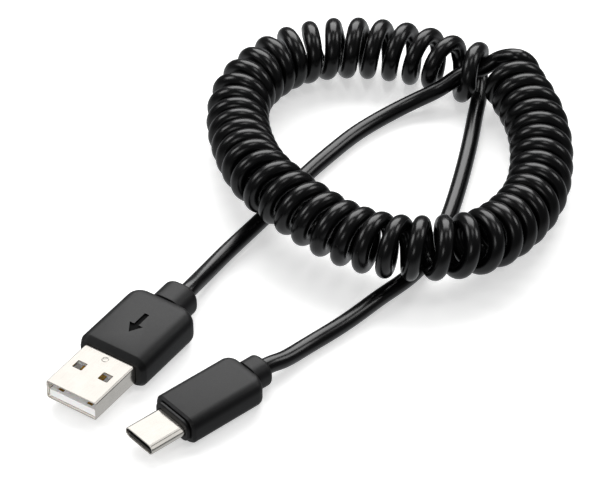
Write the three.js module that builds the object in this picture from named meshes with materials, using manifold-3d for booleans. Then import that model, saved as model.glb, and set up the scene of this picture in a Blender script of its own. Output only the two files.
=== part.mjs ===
// Coiled charging cable: a USB-A plug, a curly cord closed into a ring, and a USB-C plug.
// Millimetres, +Z up, everything lies on z = 0. Each plug is built along its own +X axis,
// with the mouth at x = 0, and is then turned and placed.

import * as THREE from "three";
import { mergeVertices } from "three/addons/utils/BufferGeometryUtils.js";
import Module from "manifold-3d";

const wasm = await Module();
wasm.setup();

// ---------------------------------------------------------------- driving dimensions

const FIT_GAP = 0.1;          // clearance round a moulded-in piece
const SEAT_GAP = 0.3;         // clearance where one cord solid faces another

const CORD_RADIUS = 1.75;
const COIL_RADIUS = 6.7;      // outside of the curly cord
const COIL_MEAN_RADIUS = COIL_RADIUS - CORD_RADIUS;
const WIRE_RADIUS = 0.42;

const PLUG_A = {
  place: [-48.34, -50.83, 3.8],
  angle: THREE.MathUtils.degToRad(55.84),
  shellWidth: 12, shellHeight: 4.5, shellLength: 18, shellWall: 0.3, shellCorner: 0.5,
  bodyFront: 12.8, bodyBack: 31.3, bodyWidth: 15.9, bodyHeight: 7.6, bodyEdge: 2.6,
  rearCorner: 2.4, frontCorner: 0.9,
  innerFront: 18.3, innerBack: 28.2, innerWidth: 13.2, innerHeight: 5.8, innerWall: 0.5,
  jacketEnd: 24.6, neckEnd: 37.2, neckWidth: 7.9, neckHeight: 7.2, rootRadius: 3.0,
};

const PLUG_C = {
  place: [-34.85, -61.49, 3.15],
  angle: THREE.MathUtils.degToRad(40.95),
  shellWidth: 8.25, shellHeight: 2.4, shellLength: 9.3, shellWall: 0.25, shellCorner: 1.2,
  bodyFront: 8.9, bodyBack: 27.2, bodyWidth: 11.8, bodyHeight: 6.3, bodyEdge: 2.2,
  rearCorner: 2.0, frontCorner: 0.7,
  noseFront: 8.1, noseWidth: 9.8, noseHeight: 5.0,
  innerFront: 9.6, innerBack: 24.6, innerWidth: 10.0, innerHeight: 4.9, innerWall: 0.3,
  jacketEnd: 19.6, neckEnd: 31.4, neckWidth: 6.5, neckHeight: 6.0, rootRadius: 2.6,
};

// Axis of the closed coil, from the USB-A end round to the USB-C end. The near side is
// lifted where it rests on the two leads that pass under it.
const COIL_AXIS = [
  [42.1, 45.0, 6.75], [45.0, 36.1, 6.75], [46.6, 25.9, 6.75], [46.2, 15.9, 6.75],
  [44.1, 6.7, 6.9], [38.8, -2.8, 7.7], [31.7, -10.1, 9.2], [24.1, -13.0, 10.3],
  [16.1, -12.8, 10.2], [8.1, -9.5, 9.6], [1.1, -5.0, 9.9], [-6.0, 1.6, 10.5],
  [-11.8, 9.2, 10.4], [-15.5, 20.3, 8.6], [-17.2, 33.0, 6.95], [-15.8, 42.3, 6.75],
  [-11.6, 49.3, 6.75], [-6.2, 54.4, 6.75], [0.4, 57.1, 6.75], [7.0, 57.9, 6.75],
  [14.5, 57.1, 6.75], [20.8, 55.4, 6.75], [23.6, 54.2, 6.75],
];

// The last turns stand open round the other lead. Each row is the turn's angle, the middle
// of the turn there, and the heading of the coil's axis. Angles fall as the cord advances:
// 0 is the outer side, -90 the foot, -180 the inner side and -270 the crest.
const OPEN_TURNS = [
  { angle: -90, middle: [25.2, 53.5], heading: -24 },
  { angle: -180, middle: [26.4, 52.8], heading: -30 },
  { angle: -270, middle: [27.5, 52.0], heading: -33 },
  { angle: -360, middle: [28.1, 51.6], heading: -30 },
  { angle: -450, middle: [30.8, 49.6], heading: -24 },
  { angle: -540, middle: [33.8, 48.6], heading: -20 },
  { angle: -630, middle: [33.4, 49.0], heading: -20 },
  { angle: -700, middle: [34.2, 49.4], heading: -14 },
];
const STEPS_PER_QUARTER = 4;

// Free stretch of cord from the USB-A plug: along the table, under the coil, up through
// the open turns and over the top of the first turn.
const LEAD_A_ROUTE = [
  [-25.0, -15.5, 3.1], [-22.2, -9.9, 2.1], [-18.9, -4.4, 1.8], [-12.0, 5.7, 1.8],
  [-7.2, 13.2, 1.8], [-2.6, 20.6, 1.8], [3.0, 28.2, 1.8], [8.2, 34.5, 1.8],
  [13.5, 39.3, 2.0], [17.7, 42.2, 2.5], [21.8, 44.0, 3.6], [25.6, 45.2, 5.0],
  [28.4, 47.1, 5.8], [30.8, 48.6, 6.5], [33.6, 49.4, 6.8], [36.6, 50.1, 8.0],
  [39.4, 50.3, 9.8], [41.7, 49.6, 10.9], [43.3, 48.3, 11.6], [44.5, 47.0, 11.3],
];

// Free stretch of cord to the USB-C plug, from the outer side of the last open turn.
const LEAD_C_ROUTE = [
  [35.1, 53.1, 4.2], [35.2, 51.4, 2.4], [35.0, 48.8, 1.8], [34.5, 45.2, 1.8],
  [33.7, 40.6, 1.8], [32.3, 31.9, 1.8], [30.0, 20.0, 1.8], [27.6, 9.6, 1.8],
  [25.2, 1.4, 1.8], [22.2, -6.0, 1.8], [18.5, -11.8, 1.8], [14.9, -15.7, 1.8],
  [11.8, -18.8, 1.8], [7.1, -23.9, 1.8], [2.3, -28.6, 1.8], [-3.2, -33.6, 1.9],
  [-7.4, -37.9, 2.6],
];

// ---------------------------------------------------------------- materials

function finish(color, roughness, metalness) {
  return new THREE.MeshStandardMaterial({ color, roughness, metalness });
}

const BLACK_MOULDING = finish(0x3a3a3d, 0.62, 0);
const BLACK_JACKET = finish(0x101011, 0.32, 0);
const PLATED_STEEL = finish(0xdedad4, 0.22, 1);
const WHITE_NYLON = finish(0xe6e6e8, 0.5, 0);
const BLACK_NYLON = finish(0x1a1a1a, 0.5, 0);
const GOLD_PLATE = finish(0xd9b25f, 0.3, 1);
const CLEAR_INNER_MOULD = finish(0xc9c7bd, 0.6, 0);
const BOARD_GREEN = finish(0x1f5c3a, 0.5, 0);
const CHIP_BLACK = finish(0x222222, 0.45, 0);
const WIRE_COLOURS = {
  red: finish(0xb3261e, 0.45, 0),
  white: finish(0xe8e6e0, 0.45, 0),
  green: finish(0x2f7d3a, 0.45, 0),
  black: finish(0x1c1c1c, 0.45, 0),
};

// ---------------------------------------------------------------- solids

function toSolid(geometry) {
  const bare = geometry.clone();
  bare.deleteAttribute("normal");
  bare.deleteAttribute("uv");
  const merged = mergeVertices(bare);
  return new wasm.Manifold(new wasm.Mesh({
    numProp: 3,
    vertProperties: new Float32Array(merged.attributes.position.array),
    triVerts: new Uint32Array(merged.index.array),
  }));
}

function toGeometry(solid) {
  const mesh = solid.getMesh();
  const geometry = new THREE.BufferGeometry();
  geometry.setAttribute("position", new THREE.BufferAttribute(mesh.vertProperties, 3));
  geometry.setIndex(new THREE.BufferAttribute(mesh.triVerts, 1));
  geometry.computeVertexNormals();
  return geometry;
}

function cutAway(geometry, cutters) {
  let solid = toSolid(geometry);
  for (const cutter of cutters) {
    solid = solid.subtract(toSolid(cutter));
  }
  return toGeometry(solid);
}

function joined(first, second) {
  return toGeometry(toSolid(first).add(toSolid(second)));
}

function common(first, second) {
  return toGeometry(toSolid(first).intersect(toSolid(second)));
}

// A rectangle with round corners, centred on the origin.
function roundedRectangle(width, height, corner) {
  const x = width / 2 - corner;
  const y = height / 2 - corner;
  const shape = new THREE.Shape();
  shape.absarc(x, y, corner, 0, Math.PI / 2);
  shape.absarc(-x, y, corner, Math.PI / 2, Math.PI);
  shape.absarc(-x, -y, corner, Math.PI, 1.5 * Math.PI);
  shape.absarc(x, -y, corner, 1.5 * Math.PI, 2 * Math.PI);
  return shape;
}

// A section drawn in Y and Z, carried along X from x0 to x1.
function barAlongX(shape, x0, x1, curveSegments) {
  const bar = new THREE.ExtrudeGeometry(shape, { depth: x1 - x0, bevelEnabled: false, curveSegments });
  bar.applyMatrix4(new THREE.Matrix4().set(0, 0, 1, x0, 1, 0, 0, 0, 0, 1, 0, 0, 0, 0, 0, 1));
  return bar;
}

function roundedBar(x0, x1, width, height, corner, curveSegments = 3) {
  return barAlongX(roundedRectangle(width, height, corner), x0, x1, curveSegments);
}

function boxAt(x0, x1, y0, y1, z0, z1) {
  const box = new THREE.BoxGeometry(x1 - x0, y1 - y0, z1 - z0);
  box.translate((x0 + x1) / 2, (y0 + y1) / 2, (z0 + z1) / 2);
  return box;
}

// A turned piece about the X axis; the profile is a list of [x, radius] pairs.
function turnedAlongX(profile, sides) {
  const points = profile.map(([x, radius]) => new THREE.Vector2(radius, x));
  const turned = new THREE.LatheGeometry(points, sides);
  turned.applyMatrix4(new THREE.Matrix4().set(0, 1, 0, 0, 0, 0, 1, 0, 1, 0, 0, 0, 0, 0, 0, 1));
  return turned;
}

function rodAlongX(x0, x1, radius, sides) {
  return turnedAlongX([[x0, 0], [x0, radius], [x1, radius], [x1, 0]], sides);
}

// A round tube along a smooth curve through the given points.
function tubeAlong(points, radius, sides, steps) {
  const curve = new THREE.CatmullRomCurve3(points, false, "centripetal");
  const section = new THREE.Shape();
  for (let i = 0; i < sides; i += 1) {
    const angle = (2 * Math.PI * i) / sides;
    const x = radius * Math.cos(angle);
    const y = radius * Math.sin(angle);
    if (i === 0) {
      section.moveTo(x, y);
    } else {
      section.lineTo(x, y);
    }
  }
  section.closePath();
  return new THREE.ExtrudeGeometry(section, { extrudePath: curve, steps, bevelEnabled: false });
}

function place(parent, name, geometry, material) {
  const mesh = new THREE.Mesh(geometry, material);
  mesh.name = name;
  parent.add(mesh);
}

// ---------------------------------------------------------------- pieces both plugs have

// Plan outline of a grip: large corners at the cord end, small ones at the mouth end.
function gripPlan(plug) {
  const half = plug.bodyWidth / 2;
  const shape = new THREE.Shape();
  const rear = plug.rearCorner;
  const front = plug.frontCorner;
  shape.moveTo(plug.bodyFront, -half + front);
  shape.lineTo(plug.bodyFront + front, -half);
  shape.lineTo(plug.bodyBack - rear, -half);
  shape.absarc(plug.bodyBack - rear, -half + rear, rear, -Math.PI / 2, 0);
  shape.absarc(plug.bodyBack - rear, half - rear, rear, 0, Math.PI / 2);
  shape.lineTo(plug.bodyFront + front, half);
  shape.lineTo(plug.bodyFront, half - front);
  shape.closePath();
  const plan = new THREE.ExtrudeGeometry(shape, {
    depth: plug.bodyHeight + 2, bevelEnabled: false, curveSegments: 4,
  });
  plan.translate(0, 0, -plug.bodyHeight / 2 - 1);
  return plan;
}

// The outer moulding, hollow over the shell, the inner moulding and the strain relief's root.
function overmould(plug, nose) {
  const bar = roundedBar(plug.bodyFront, plug.bodyBack, plug.bodyWidth, plug.bodyHeight, plug.bodyEdge, 4);
  const grip = common(bar, gripPlan(plug));
  const outside = nose ? joined(grip, nose) : grip;
  const shellGap = roundedBar(
    0, plug.innerFront - FIT_GAP + 0.05, plug.shellWidth + 2 * FIT_GAP, plug.shellHeight + 2 * FIT_GAP,
    plug.shellCorner + FIT_GAP, 4);
  const innerGap = roundedBar(
    plug.innerFront - FIT_GAP, plug.innerBack + FIT_GAP,
    plug.innerWidth + 2 * FIT_GAP, plug.innerHeight + 2 * FIT_GAP, 1.1);
  const rootGap = rodAlongX(plug.innerBack, plug.bodyBack + 1, plug.rootRadius + FIT_GAP, 24);
  return cutAway(outside, [shellGap, innerGap, rootGap]);
}

// The first moulding round the soldered joints: a cup, open towards the shell.
function innerMould(plug) {
  const block = roundedBar(plug.innerFront, plug.innerBack, plug.innerWidth, plug.innerHeight, 1.0);
  const wall = plug.innerWall;
  const hollow = roundedBar(
    plug.innerFront - 1, plug.innerBack - 0.6, plug.innerWidth - 2 * wall, plug.innerHeight - 2 * wall, 0.6);
  const cordHole = rodAlongX(plug.innerBack - 2, plug.innerBack + 1, CORD_RADIUS + FIT_GAP, 16);
  return cutAway(block, [hollow, cordHole]);
}

// The collar that the cord leaves by, with a root inside the grip's rear wall.
function strainRelief(plug) {
  const bore = CORD_RADIUS + FIT_GAP;
  const collar = plug.neckWidth / 2;
  const start = plug.bodyBack + FIT_GAP;
  const round = 1.1;
  const profile = [
    [plug.innerBack + SEAT_GAP, bore], [plug.innerBack + SEAT_GAP, plug.rootRadius],
    [start, plug.rootRadius], [start, collar],
  ];
  for (let i = 0; i <= 4; i += 1) {
    const angle = (i / 4) * (Math.PI / 2);
    profile.push([plug.neckEnd - round + round * Math.sin(angle), collar - round + round * Math.cos(angle)]);
  }
  profile.push([plug.neckEnd, bore], [plug.innerBack + SEAT_GAP, bore]);
  const relief = turnedAlongX(profile, 24);
  const flatten = common(relief, roundedBar(0, plug.neckEnd + 1, plug.neckWidth + 1, plug.neckHeight, 0.6));
  return flatten;
}

// A crimped metal band that grips the jacket just behind its cut end.
function cableClamp(plug, thickness) {
  const inside = CORD_RADIUS + FIT_GAP;
  const x0 = plug.jacketEnd + 0.4;
  const x1 = x0 + 2;
  return turnedAlongX(
    [[x0, inside], [x0, inside + thickness], [x1, inside + thickness], [x1, inside], [x0, inside]], 20);
}

// Four insulated wires from the jacket's end to the solder points. Each wire leaves the
// jacket in its own quarter and runs forward to its own width across the plug.
function addWires(parent, prefix, plug, wires) {
  const offset = 0.52;
  for (const wire of wires) {
    const sideY = Math.sign(wire.toY);
    const jacketX = plug.jacketEnd - FIT_GAP;
    const points = [
      new THREE.Vector3(jacketX, sideY * offset, wire.quarterZ * offset),
      new THREE.Vector3(jacketX - 1.2, sideY * (offset + 0.1), wire.quarterZ * offset),
      new THREE.Vector3((jacketX + wire.toX) / 2, (wire.toY + sideY * offset) / 2,
        (wire.quarterZ * offset + wire.toZ) / 2),
      new THREE.Vector3(wire.toX + 0.9, wire.toY, wire.toZ),
      new THREE.Vector3(wire.toX, wire.toY, wire.toZ),
    ];
    place(parent, `${prefix}_wire_${wire.name}`, tubeAlong(points, WIRE_RADIUS, 6, 8), WIRE_COLOURS[wire.name]);
  }
}

// ---------------------------------------------------------------- USB-A plug

function buildPlugA() {
  const plug = PLUG_A;
  const group = new THREE.Group();
  const innerWidth = plug.shellWidth - 2 * plug.shellWall;
  const innerHeight = plug.shellHeight - 2 * plug.shellWall;
  const windowX = 7.1;
  const windowY = 3.1;
  const windowLength = 2.2;
  const windowWidth = 2.3;

  const shellCuts = [roundedBar(-1, plug.shellLength + 1, innerWidth, innerHeight, 0.25)];
  for (const side of [-1, 1]) {
    shellCuts.push(boxAt(
      windowX - windowLength / 2, windowX + windowLength / 2,
      side * windowY - windowWidth / 2, side * windowY + windowWidth / 2, -5, 5));
  }
  const sleeve = roundedBar(0, plug.shellLength, plug.shellWidth, plug.shellHeight, plug.shellCorner);
  place(group, "usb_a_shell", cutAway(sleeve, shellCuts), PLATED_STEEL);

  const tongueTop = -0.15;
  const floor = -innerHeight / 2 + FIT_GAP;
  const half = innerWidth / 2 - FIT_GAP;
  const tongue = boxAt(0.5, 10, -half, half, floor, tongueTop);
  const backBlock = boxAt(9.4, 17.6, -half, half, floor, innerHeight / 2 - FIT_GAP);
  const contacts = [
    { name: "vbus", y: 3.5, front: 1.3 },
    { name: "data_minus", y: 1.0, front: 2.3 },
    { name: "data_plus", y: -1.0, front: 2.3 },
    { name: "ground", y: -3.5, front: 1.3 },
  ];
  const contactWidth = 1.1;
  const contactThickness = 0.3;
  const contactTop = tongueTop + 0.08;
  const grooveGap = 0.08;
  const grooves = contacts.map(({ y, front }) => boxAt(
    front - grooveGap, 20, y - contactWidth / 2 - grooveGap, y + contactWidth / 2 + grooveGap,
    contactTop - contactThickness - grooveGap, contactTop + grooveGap));
  place(group, "usb_a_insulator", cutAway(joined(tongue, backBlock), grooves), WHITE_NYLON);
  for (const { name, y, front } of contacts) {
    const strip = boxAt(
      front, 19.4, y - contactWidth / 2, y + contactWidth / 2, contactTop - contactThickness, contactTop);
    place(group, `usb_a_contact_${name}`, strip, GOLD_PLATE);
  }

  const solderX = 19.5;
  addWires(group, "usb_a", plug, [
    { name: "red", toX: solderX, toY: 3.5, toZ: contactTop, quarterZ: 1 },
    { name: "white", toX: solderX, toY: 1.0, toZ: contactTop, quarterZ: -1 },
    { name: "green", toX: solderX, toY: -1.0, toZ: contactTop, quarterZ: -1 },
    { name: "black", toX: solderX, toY: -3.5, toZ: contactTop, quarterZ: 1 },
  ]);
  place(group, "usb_a_cable_clamp", cableClamp(plug, 0.4), PLATED_STEEL);
  place(group, "usb_a_inner_mould", innerMould(plug), CLEAR_INNER_MOULD);
  place(group, "usb_a_overmould", overmould(plug, null), BLACK_MOULDING);
  place(group, "usb_a_strain_relief", strainRelief(plug), BLACK_MOULDING);
  group.position.set(...plug.place);
  group.rotation.z = plug.angle;
  return group;
}

// ---------------------------------------------------------------- USB-C plug

const PIN_PITCH = 0.5;
const PIN_COUNT = 12;

// The pins of a charge and USB 2.0 plug, by row and place across the mouth.
const PLUG_C_PINS = {
  a: [1, 4, 5, 6, 7, 9, 12],
  b: [1, 4, 9, 12],
};

function pinY(row, index) {
  const y = (PIN_COUNT / 2 + 0.5 - index) * PIN_PITCH;
  return row === "a" ? y : -y;
}

function buildPlugC() {
  const plug = PLUG_C;
  const group = new THREE.Group();
  const outerCorner = plug.shellCorner - 0.001;
  const innerWidth = plug.shellWidth - 2 * plug.shellWall;
  const innerHeight = plug.shellHeight - 2 * plug.shellWall;
  const innerCorner = innerHeight / 2 - 0.001;
  const sleeve = roundedBar(0, plug.shellLength, plug.shellWidth, plug.shellHeight, outerCorner, 5);
  const cavity = roundedBar(-1, plug.shellLength + 1, innerWidth, innerHeight, innerCorner, 5);
  place(group, "usb_c_shell", cutAway(sleeve, [cavity]), PLATED_STEEL);

  const slotHalf = 0.4;
  const blockFront = 6.3;
  const pinZ = 0.43;
  const pinThickness = 0.12;
  const pinWidth = 0.24;
  const pinGap = 0.06;
  const latchY = 3.25;
  const latchThickness = 0.2;
  const latchHalfHeight = 0.33;
  const latchRoot = 6.6;
  const insulator = roundedBar(
    0.35, 9.1, innerWidth - 2 * FIT_GAP, innerHeight - 2 * FIT_GAP, innerCorner - FIT_GAP, 5);
  const cuts = [
    boxAt(-1, blockFront, -5, 5, -slotHalf, slotHalf),
    boxAt(blockFront - 0.2, 10, -latchY - 0.1, latchY + 0.1, -0.18, 0.18),
  ];
  for (const side of [-1, 1]) {
    const inner = side * (latchY - 0.12);
    const outer = side * (latchY + latchThickness + 0.12);
    cuts.push(boxAt(
      blockFront - 0.2, latchRoot + 0.08, Math.min(inner, outer), Math.max(inner, outer), -slotHalf, slotHalf));
  }
  const pins = [];
  for (const [row, indices] of Object.entries(PLUG_C_PINS)) {
    const side = row === "a" ? 1 : -1;
    for (const index of indices) {
      const z0 = side * pinZ;
      const z1 = side * (pinZ + pinThickness);
      const y = pinY(row, index);
      pins.push({ name: `usb_c_contact_${row}${index}`, y, low: Math.min(z0, z1), high: Math.max(z0, z1) });
    }
  }
  for (const { y, low, high } of pins) {
    cuts.push(boxAt(
      1.0, 10, y - pinWidth / 2 - pinGap, y + pinWidth / 2 + pinGap, low - pinGap, high + pinGap));
  }
  place(group, "usb_c_insulator", cutAway(insulator, cuts), BLACK_NYLON);
  for (const { name, y, low, high } of pins) {
    place(group, name, boxAt(1.1, 10.6, y - pinWidth / 2, y + pinWidth / 2, low, high), GOLD_PLATE);
  }

  // Side latches: flat springs with an inward hook near the mouth.
  for (const [name, side] of [["left", 1], ["right", -1]]) {
    const flank = new THREE.Shape();
    const outline = [
      [1.4, latchY + latchThickness], [1.4, latchY + 0.05], [1.8, latchY - 0.2], [2.2, latchY - 0.2],
      [2.7, latchY], [latchRoot, latchY], [latchRoot, latchY + latchThickness],
    ];
    const ordered = side > 0 ? outline : outline.map(([x, y]) => [x, -y]);
    ordered.forEach(([x, y], i) => (i === 0 ? flank.moveTo(x, y) : flank.lineTo(x, y)));
    flank.closePath();
    const latch = new THREE.ExtrudeGeometry(flank, { depth: 2 * latchHalfHeight, bevelEnabled: false });
    latch.translate(0, 0, -latchHalfHeight);
    place(group, `usb_c_latch_${name}`, latch, PLATED_STEEL);
  }
  place(group, "usb_c_ground_plate", boxAt(latchRoot + 0.1, 9.2, -latchY, latchY, -0.1, 0.1), PLATED_STEEL);

  const boardHalf = 0.3;
  const boardBack = 15.6;
  place(group, "usb_c_circuit_board", boxAt(9.4, boardBack, -4.2, 4.2, -boardHalf, boardHalf), BOARD_GREEN);
  place(group, "usb_c_resistor", boxAt(11.6, 12.6, 1.6, 2.1, boardHalf + 0.06, boardHalf + 0.41), CHIP_BLACK);

  const solderX = 13.4;
  const wireZ = boardHalf + WIRE_RADIUS + 0.06;
  addWires(group, "usb_c", plug, [
    { name: "red", toX: solderX, toY: 2.9, toZ: wireZ, quarterZ: 1 },
    { name: "white", toX: solderX, toY: 1.0, toZ: -wireZ, quarterZ: -1 },
    { name: "green", toX: solderX, toY: -1.0, toZ: -wireZ, quarterZ: -1 },
    { name: "black", toX: solderX, toY: -2.9, toZ: wireZ, quarterZ: 1 },
  ]);
  place(group, "usb_c_cable_clamp", cableClamp(plug, 0.2), PLATED_STEEL);
  place(group, "usb_c_inner_mould", innerMould(plug), CLEAR_INNER_MOULD);
  const nose = roundedBar(plug.noseFront, plug.bodyFront + 1, plug.noseWidth, plug.noseHeight, 1.9, 4);
  place(group, "usb_c_overmould", overmould(plug, nose), BLACK_MOULDING);
  place(group, "usb_c_strain_relief", strainRelief(plug), BLACK_MOULDING);
  group.position.set(...plug.place);
  group.rotation.z = plug.angle;
  return group;
}

// ---------------------------------------------------------------- cord

// A point on a plug's own axis, in the cable's frame.
function onPlugAxis(plug, x) {
  return new THREE.Vector3(
    plug.place[0] + x * Math.cos(plug.angle), plug.place[1] + x * Math.sin(plug.angle), plug.place[2]);
}

function toVectors(points) {
  return points.map((point) => new THREE.Vector3(...point));
}

// Points along the open turns: between two rows the angle, the middle and the heading
// change evenly, and the cord's centre runs at the mean radius round the middle.
function openTurns() {
  const points = [];
  for (let row = 0; row < OPEN_TURNS.length - 1; row += 1) {
    const from = OPEN_TURNS[row];
    const to = OPEN_TURNS[row + 1];
    for (let step = 0; step < STEPS_PER_QUARTER; step += 1) {
      const part = step / STEPS_PER_QUARTER;
      const angle = THREE.MathUtils.degToRad(THREE.MathUtils.lerp(from.angle, to.angle, part));
      const heading = THREE.MathUtils.degToRad(THREE.MathUtils.lerp(from.heading, to.heading, part));
      const across = COIL_MEAN_RADIUS * Math.cos(angle);
      points.push(new THREE.Vector3(
        THREE.MathUtils.lerp(from.middle[0], to.middle[0], part) - across * Math.sin(heading),
        THREE.MathUtils.lerp(from.middle[1], to.middle[1], part) + across * Math.cos(heading),
        COIL_RADIUS + COIL_MEAN_RADIUS * Math.sin(angle) + 0.05));
    }
  }
  return points;
}

function buildCord() {
  const group = new THREE.Group();
  const leadA = [
    onPlugAxis(PLUG_A, PLUG_A.jacketEnd), onPlugAxis(PLUG_A, PLUG_A.neckEnd - 3),
    onPlugAxis(PLUG_A, PLUG_A.neckEnd + 1.5), ...toVectors(LEAD_A_ROUTE),
  ];
  place(group, "lead_usb_a", tubeAlong(leadA, CORD_RADIUS, 8, 32), BLACK_JACKET);
  place(group, "coil_body", tubeAlong(toVectors(COIL_AXIS), COIL_RADIUS, 12, 36), BLACK_JACKET);
  const leadC = [
    ...openTurns(), ...toVectors(LEAD_C_ROUTE),
    onPlugAxis(PLUG_C, PLUG_C.neckEnd + 1.5), onPlugAxis(PLUG_C, PLUG_C.neckEnd - 3),
    onPlugAxis(PLUG_C, PLUG_C.jacketEnd),
  ];
  place(group, "lead_usb_c", tubeAlong(leadC, CORD_RADIUS, 8, 70), BLACK_JACKET);
  return group;
}

const group = new THREE.Group();
group.add(buildPlugA(), buildPlugC(), buildCord());

export default group;
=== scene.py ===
"""Coiled charging cable: its visible surfaces and finishes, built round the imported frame.

The cable is one cord from plug to plug. It leaves the USB-A plug, runs under the ring, rises
through the open turns and makes the left-handed coil. The open turns follow, and it goes back
under the ring to the USB-C plug. Each plug is made along its own +X axis, with the mouth at
x = 0, and is then placed. Lengths are metres, in the frame's axes.
"""

import logging
import math
from dataclasses import dataclass, replace
from enum import Enum
from typing import Any, Sequence

import bmesh
import bpy
import numpy as np
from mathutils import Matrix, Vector


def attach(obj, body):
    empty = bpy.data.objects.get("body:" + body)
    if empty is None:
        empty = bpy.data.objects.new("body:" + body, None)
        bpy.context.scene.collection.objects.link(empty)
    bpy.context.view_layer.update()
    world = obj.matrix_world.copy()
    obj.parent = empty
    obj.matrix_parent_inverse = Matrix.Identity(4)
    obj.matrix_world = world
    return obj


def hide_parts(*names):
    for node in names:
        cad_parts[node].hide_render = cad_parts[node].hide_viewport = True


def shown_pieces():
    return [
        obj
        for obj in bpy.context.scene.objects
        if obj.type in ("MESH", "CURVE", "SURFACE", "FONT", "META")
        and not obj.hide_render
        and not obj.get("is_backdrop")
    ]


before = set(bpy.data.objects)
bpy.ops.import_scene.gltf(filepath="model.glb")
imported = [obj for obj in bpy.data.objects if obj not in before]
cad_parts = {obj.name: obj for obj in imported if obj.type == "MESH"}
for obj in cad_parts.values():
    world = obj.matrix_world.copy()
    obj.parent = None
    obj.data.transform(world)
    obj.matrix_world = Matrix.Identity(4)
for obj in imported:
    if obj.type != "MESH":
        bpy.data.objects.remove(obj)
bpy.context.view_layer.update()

MM = 0.001
TAU = 2 * math.pi
NOISE_SPAN = (0.3, 0.7)   # most of a noise's values lie between these
BAND_SPACING = 0.31       # a wave texture of scale one has a band this often
SMOOTH_ANGLE = 32.0       # faces that meet at less than this many degrees are shaded smooth
STAMPED_ANGLE = 30.0      # the same for the frame's stamped and moulded pieces
CORD_RADIUS = 1.75 * MM
BRIGHT_PIECES = ("usb_a_folded_shell", "usb_a_tongue", "usb_c_drawn_shell",
                 "usb_c_spring_left", "usb_c_spring_right")

Piece = bpy.types.Object
Tree = bpy.types.NodeTree
Node = bpy.types.Node
Socket = bpy.types.NodeSocket
Sizes = tuple[float, ...]
Row = tuple[float, float, float, float]       # place along X, width, height and corner radius
Wire = tuple[str, float, float, float, int]   # colour, end x, y and z, above (1) or below (-1)

log = logging.getLogger("charging_cable")


class Body(Enum):
    """The bodies that move: the cable, and the two spring latches in the USB-C mouth."""

    CABLE = "cable"
    LATCH_LEFT = "latch_left"
    LATCH_RIGHT = "latch_right"


class Slot(Enum):
    """The record's material slots."""

    BLACK_MOULDING = "black_moulding"
    BLACK_JACKET = "black_jacket"
    PLATED_STEEL = "plated_steel"
    WHITE_NYLON = "white_nylon"
    BLACK_NYLON = "black_nylon"
    GOLD_CONTACT = "gold_contact"
    INNER_MOULDING = "inner_moulding"
    CIRCUIT_BOARD = "circuit_board"
    RESISTOR_BODY = "resistor_body"
    WIRE_RED = "wire_red"
    WIRE_WHITE = "wire_white"
    WIRE_GREEN = "wire_green"
    WIRE_BLACK = "wire_black"


def mm(*values: float) -> Sizes:
    """Turns millimetres into metres."""
    return tuple(value * MM for value in values)


# ---------------------------------------------------------------- node helpers


def linear(colour: str) -> tuple[float, float, float, float]:
    """Turns an sRGB hex colour into linear light.

    Args:
        colour: Six hex digits after a hash sign.

    Returns:
        Red, green and blue in linear light, and an alpha of one.
    """
    parts = [int(colour[i:i + 2], 16) / 255 for i in (1, 3, 5)]
    light = [p / 12.92 if p <= 0.04045 else ((p + 0.055) / 1.055) ** 2.4 for p in parts]
    return light[0], light[1], light[2], 1.0


def add_node(tree: Tree, kind: str, inputs: dict[Any, Any] | None = None, **settings: Any) -> Node:
    """Adds a node with its settings, its constants and its links.

    Args:
        tree: The node tree that takes the node.
        kind: Blender's name for the kind of node.
        inputs: Constants and source sockets by the input's name or number.
        **settings: The node's own properties.

    Returns:
        The new node.
    """
    node = tree.nodes.new(kind)
    for name, value in settings.items():
        setattr(node, name, value)
    for key, value in (inputs or {}).items():
        if isinstance(value, Socket):
            tree.links.new(value, node.inputs[key])
        else:
            node.inputs[key].default_value = value
    return node


# ---------------------------------------------------------------- finishes


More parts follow.
